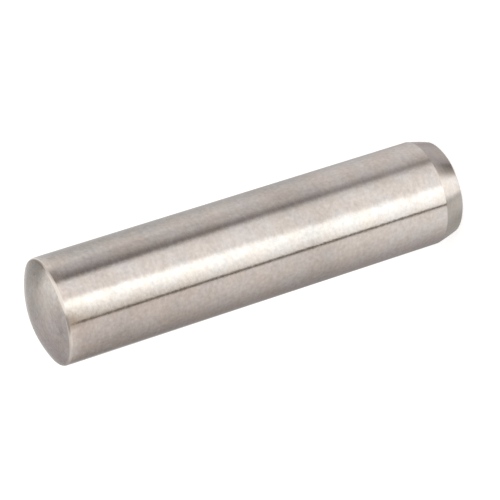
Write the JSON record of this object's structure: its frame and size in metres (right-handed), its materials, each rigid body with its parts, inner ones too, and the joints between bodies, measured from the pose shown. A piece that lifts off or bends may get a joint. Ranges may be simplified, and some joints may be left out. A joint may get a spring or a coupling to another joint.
{
  "type": "dowel pin",
  "caption": "Solid round steel dowel pin with a ground body, one low domed end and one flat end behind a long shallow lead taper, for locating or joining two machined parts.",
  "frame": {"origin": "centre of the flat end face, which the pin stands on", "axes": "+Z along the pin's axis, from the flat end to the domed end; X and Y are any two directions across it, as the pin is round"},
  "size_m": [0.012, 0.012, 0.05],
  "materials": {
    "ground_steel": "fine ground, bright, with a satin dome and lead taper"
  },
  "bodies": {
    "root": {"dowel_pin": "ground_steel"}
  },
  "joints": []
}
